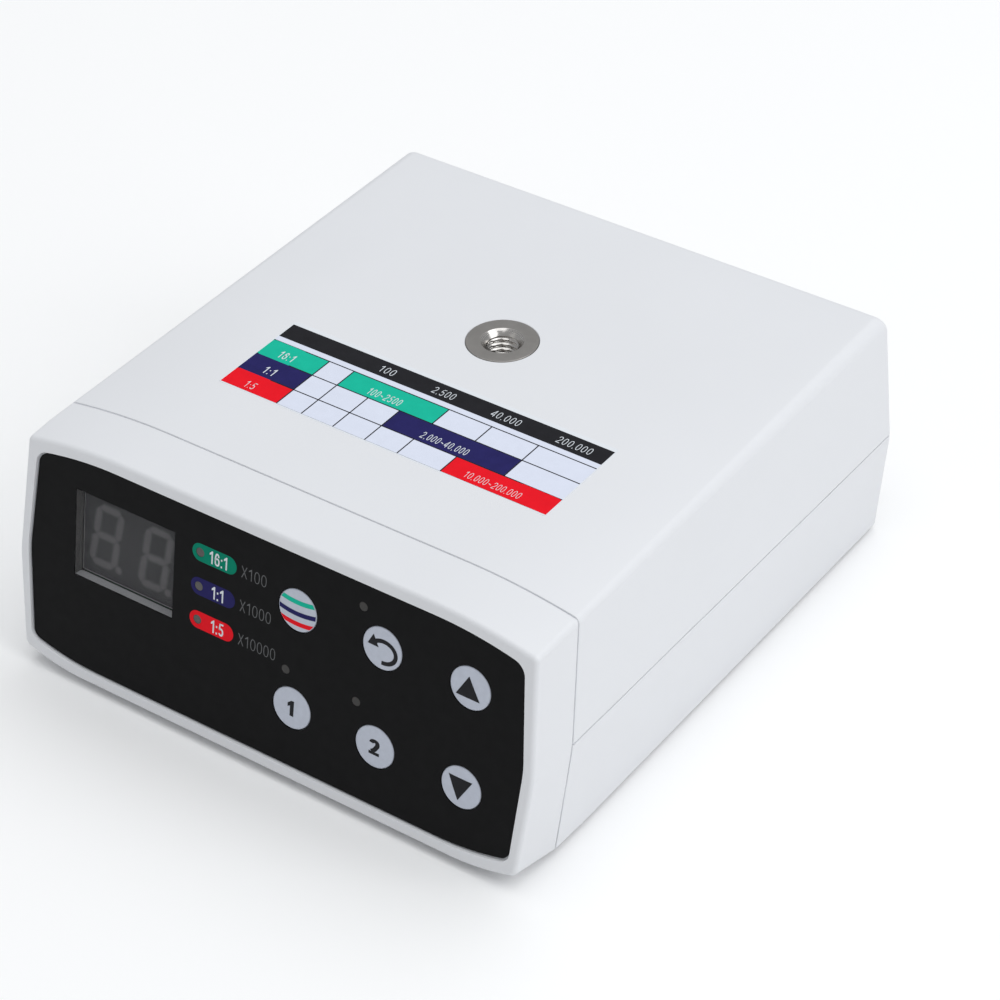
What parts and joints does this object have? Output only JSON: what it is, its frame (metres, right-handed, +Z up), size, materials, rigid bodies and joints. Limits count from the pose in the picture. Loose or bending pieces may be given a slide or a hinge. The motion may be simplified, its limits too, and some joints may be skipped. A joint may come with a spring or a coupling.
{
  "type": "endodontic motor control unit",
  "caption": "Tabletop control unit of an electric dental micromotor, with a leaning key panel, a display, a threaded stand bush on top and rear connectors.",
  "frame": {"origin": "centre of the footprint on the surface the unit stands on", "axes": "+X to the right as the panel is read, front faces -Y, +Z up"},
  "size_m": [0.128, 0.15, 0.055],
  "materials": {
    "shell_plastic": "semi-gloss moulded ABS, warm white",
    "plate_plastic": "fine matt ABS, light grey",
    "film": "printed polyester film, satin black",
    "smoked_window": "smoked clear plastic",
    "key_cap": "satin light blue-grey",
    "plunger_plastic": "moulded, black",
    "switch_housing": "pressed sheet cover",
    "display_body": "grey face, white sides",
    "led_lens": "clear to milky epoxy",
    "circuit_board": "green solder mask",
    "screw_steel": "zinc plated",
    "ribbon": "grey PVC",
    "black_plastic": "moulded, black",
    "heat_sink": "extruded, natural",
    "capacitor_sleeve": "shrink sleeve, dark blue",
    "copper_winding": "enamelled wire",
    "header_plastic": "nylon, natural",
    "bush_steel": "turned stainless steel, satin",
    "label": "printed vinyl, gloss",
    "foot_rubber": "matt",
    "nickel": "nickel plated brass",
    "clear_tube": "translucent silicone",
    "port_brass": "turned brass",
    "contact_gold": "gold flashed",
    "lead_sleeve": "PVC, red",
    "rocker_plastic": "moulded nylon, black"
  },
  "bodies": {
    "housing": {"upper_shell": "shell_plastic", "lower_shell": "shell_plastic", "front_bezel": "shell_plastic", "rear_plate": "plate_plastic", "panel_film": "film", "display_window": "smoked_window", "key_switches": "switch_housing", "display_module": "display_body", "indicator_leds": "led_lens", "front_board": "circuit_board", "front_board_screws": "screw_steel", "ribbon_cable": "ribbon", "ribbon_headers": "black_plastic", "main_board": "circuit_board", "main_board_screws": "screw_steel", "control_chips": "black_plastic", "power_transistors": "black_plastic", "heat_sink": "heat_sink", "heat_sink_screws": "screw_steel", "smoothing_capacitors": "capacitor_sleeve", "filter_choke": "copper_winding", "pressure_sensor": "black_plastic", "wire_headers": "header_plastic", "thread_bush": "bush_steel", "thread_bush_nut": "bush_steel", "top_label": "label", "rubber_feet": "foot_rubber", "case_screws": "screw_steel", "air_coupling": "nickel", "air_coupling_core": "port_brass", "air_coupling_nut": "nickel", "air_manifold": "black_plastic", "sensor_tube": "clear_tube", "motor_socket": "nickel", "motor_socket_nut": "nickel", "motor_socket_insert": "black_plastic", "motor_contacts": "contact_gold", "motor_leads": "lead_sleeve", "power_jack": "black_plastic", "power_jack_nut": "nickel", "power_jack_pin": "nickel", "power_leads": "lead_sleeve", "rocker_frame": "black_plastic", "rocker_terminals": "nickel"},
    "key_ratio": {"key_ratio": "key_cap", "plunger_ratio": "plunger_plastic"},
    "key_direction": {"key_direction": "key_cap", "plunger_direction": "plunger_plastic"},
    "key_up": {"key_up": "key_cap", "plunger_up": "plunger_plastic"},
    "key_memory_1": {"key_memory_1": "key_cap", "plunger_memory_1": "plunger_plastic"},
    "key_memory_2": {"key_memory_2": "key_cap", "plunger_memory_2": "plunger_plastic"},
    "key_down": {"key_down": "key_cap", "plunger_down": "plunger_plastic"},
    "rocker": {"power_rocker": "rocker_plastic"}
  },
  "joints": [
    {"name": "press_ratio", "type": "slide", "parent": "housing", "child": "key_ratio", "axis": [0, 0.9851, -0.1719], "range_m": [0, 0.00035], "stiffness_N_per_m": 2500, "springref_m": -0.0003},
    {"name": "press_direction", "type": "slide", "parent": "housing", "child": "key_direction", "axis": [0, 0.9851, -0.1719], "range_m": [0, 0.00035], "stiffness_N_per_m": 2500, "springref_m": -0.0003},
    {"name": "press_up", "type": "slide", "parent": "housing", "child": "key_up", "axis": [0, 0.9851, -0.1719], "range_m": [0, 0.00035], "stiffness_N_per_m": 2500, "springref_m": -0.0003},
    {"name": "press_memory_1", "type": "slide", "parent": "housing", "child": "key_memory_1", "axis": [0, 0.9851, -0.1719], "range_m": [0, 0.00035], "stiffness_N_per_m": 2500, "springref_m": -0.0003},
    {"name": "press_memory_2", "type": "slide", "parent": "housing", "child": "key_memory_2", "axis": [0, 0.9851, -0.1719], "range_m": [0, 0.00035], "stiffness_N_per_m": 2500, "springref_m": -0.0003},
    {"name": "press_down", "type": "slide", "parent": "housing", "child": "key_down", "axis": [0, 0.9851, -0.1719], "range_m": [0, 0.00035], "stiffness_N_per_m": 2500, "springref_m": -0.0003},
    {"name": "rocker_tilt", "type": "hinge", "parent": "housing", "child": "rocker", "pos_m": [0.04, 0.0608, 0.028], "axis": [1, 0, 0], "range_deg": [0, 24]}
  ]
}
